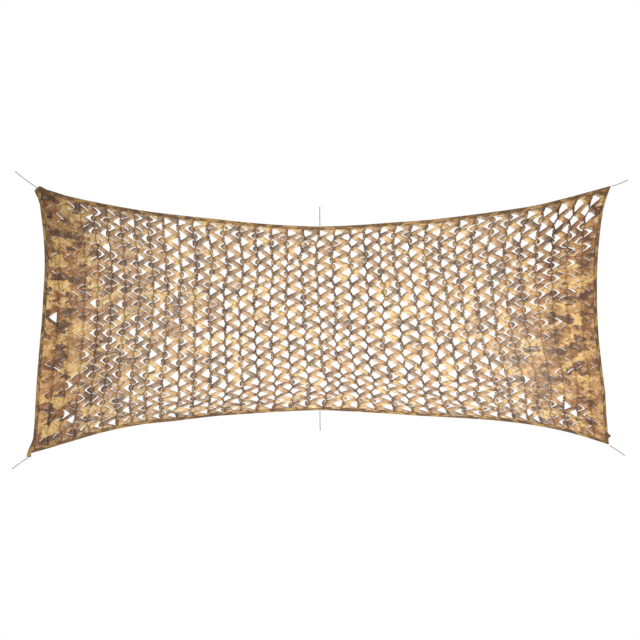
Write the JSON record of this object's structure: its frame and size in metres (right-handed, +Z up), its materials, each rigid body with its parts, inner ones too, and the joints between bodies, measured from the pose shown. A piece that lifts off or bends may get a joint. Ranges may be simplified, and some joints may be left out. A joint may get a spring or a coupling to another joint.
{
  "type": "camouflage netting",
  "caption": "Slit cloth screening net in a desert pattern, stretched with drawn-in sides inside narrow edge casings and hung by thin tie cords.",
  "frame": {"origin": "middle of the top edge, where the top middle tie cord leaves the casing", "axes": "+X along the net to the right as seen from its front, +Z up as it hangs, +Y to the back"},
  "size_m": [4.2776, 0.0907, 2.0679],
  "materials": {
    "net_cloth": "matt printed woven polyester, slit and stretched open",
    "casing_cloth": "matt printed woven polyester, folded and stitched",
    "tie_cord": "twisted polypropylene cord, slight sheen"
  },
  "bodies": {
    "root": {"net_panel": "net_cloth", "edge_casing_top": "casing_cloth", "edge_casing_bottom": "casing_cloth", "edge_casing_left": "casing_cloth", "edge_casing_right": "casing_cloth", "tie_cord_top_left": "tie_cord", "tie_cord_top_middle": "tie_cord", "tie_cord_top_right": "tie_cord", "tie_cord_bottom_left": "tie_cord", "tie_cord_bottom_middle": "tie_cord", "tie_cord_bottom_right": "tie_cord"}
  },
  "joints": []
}
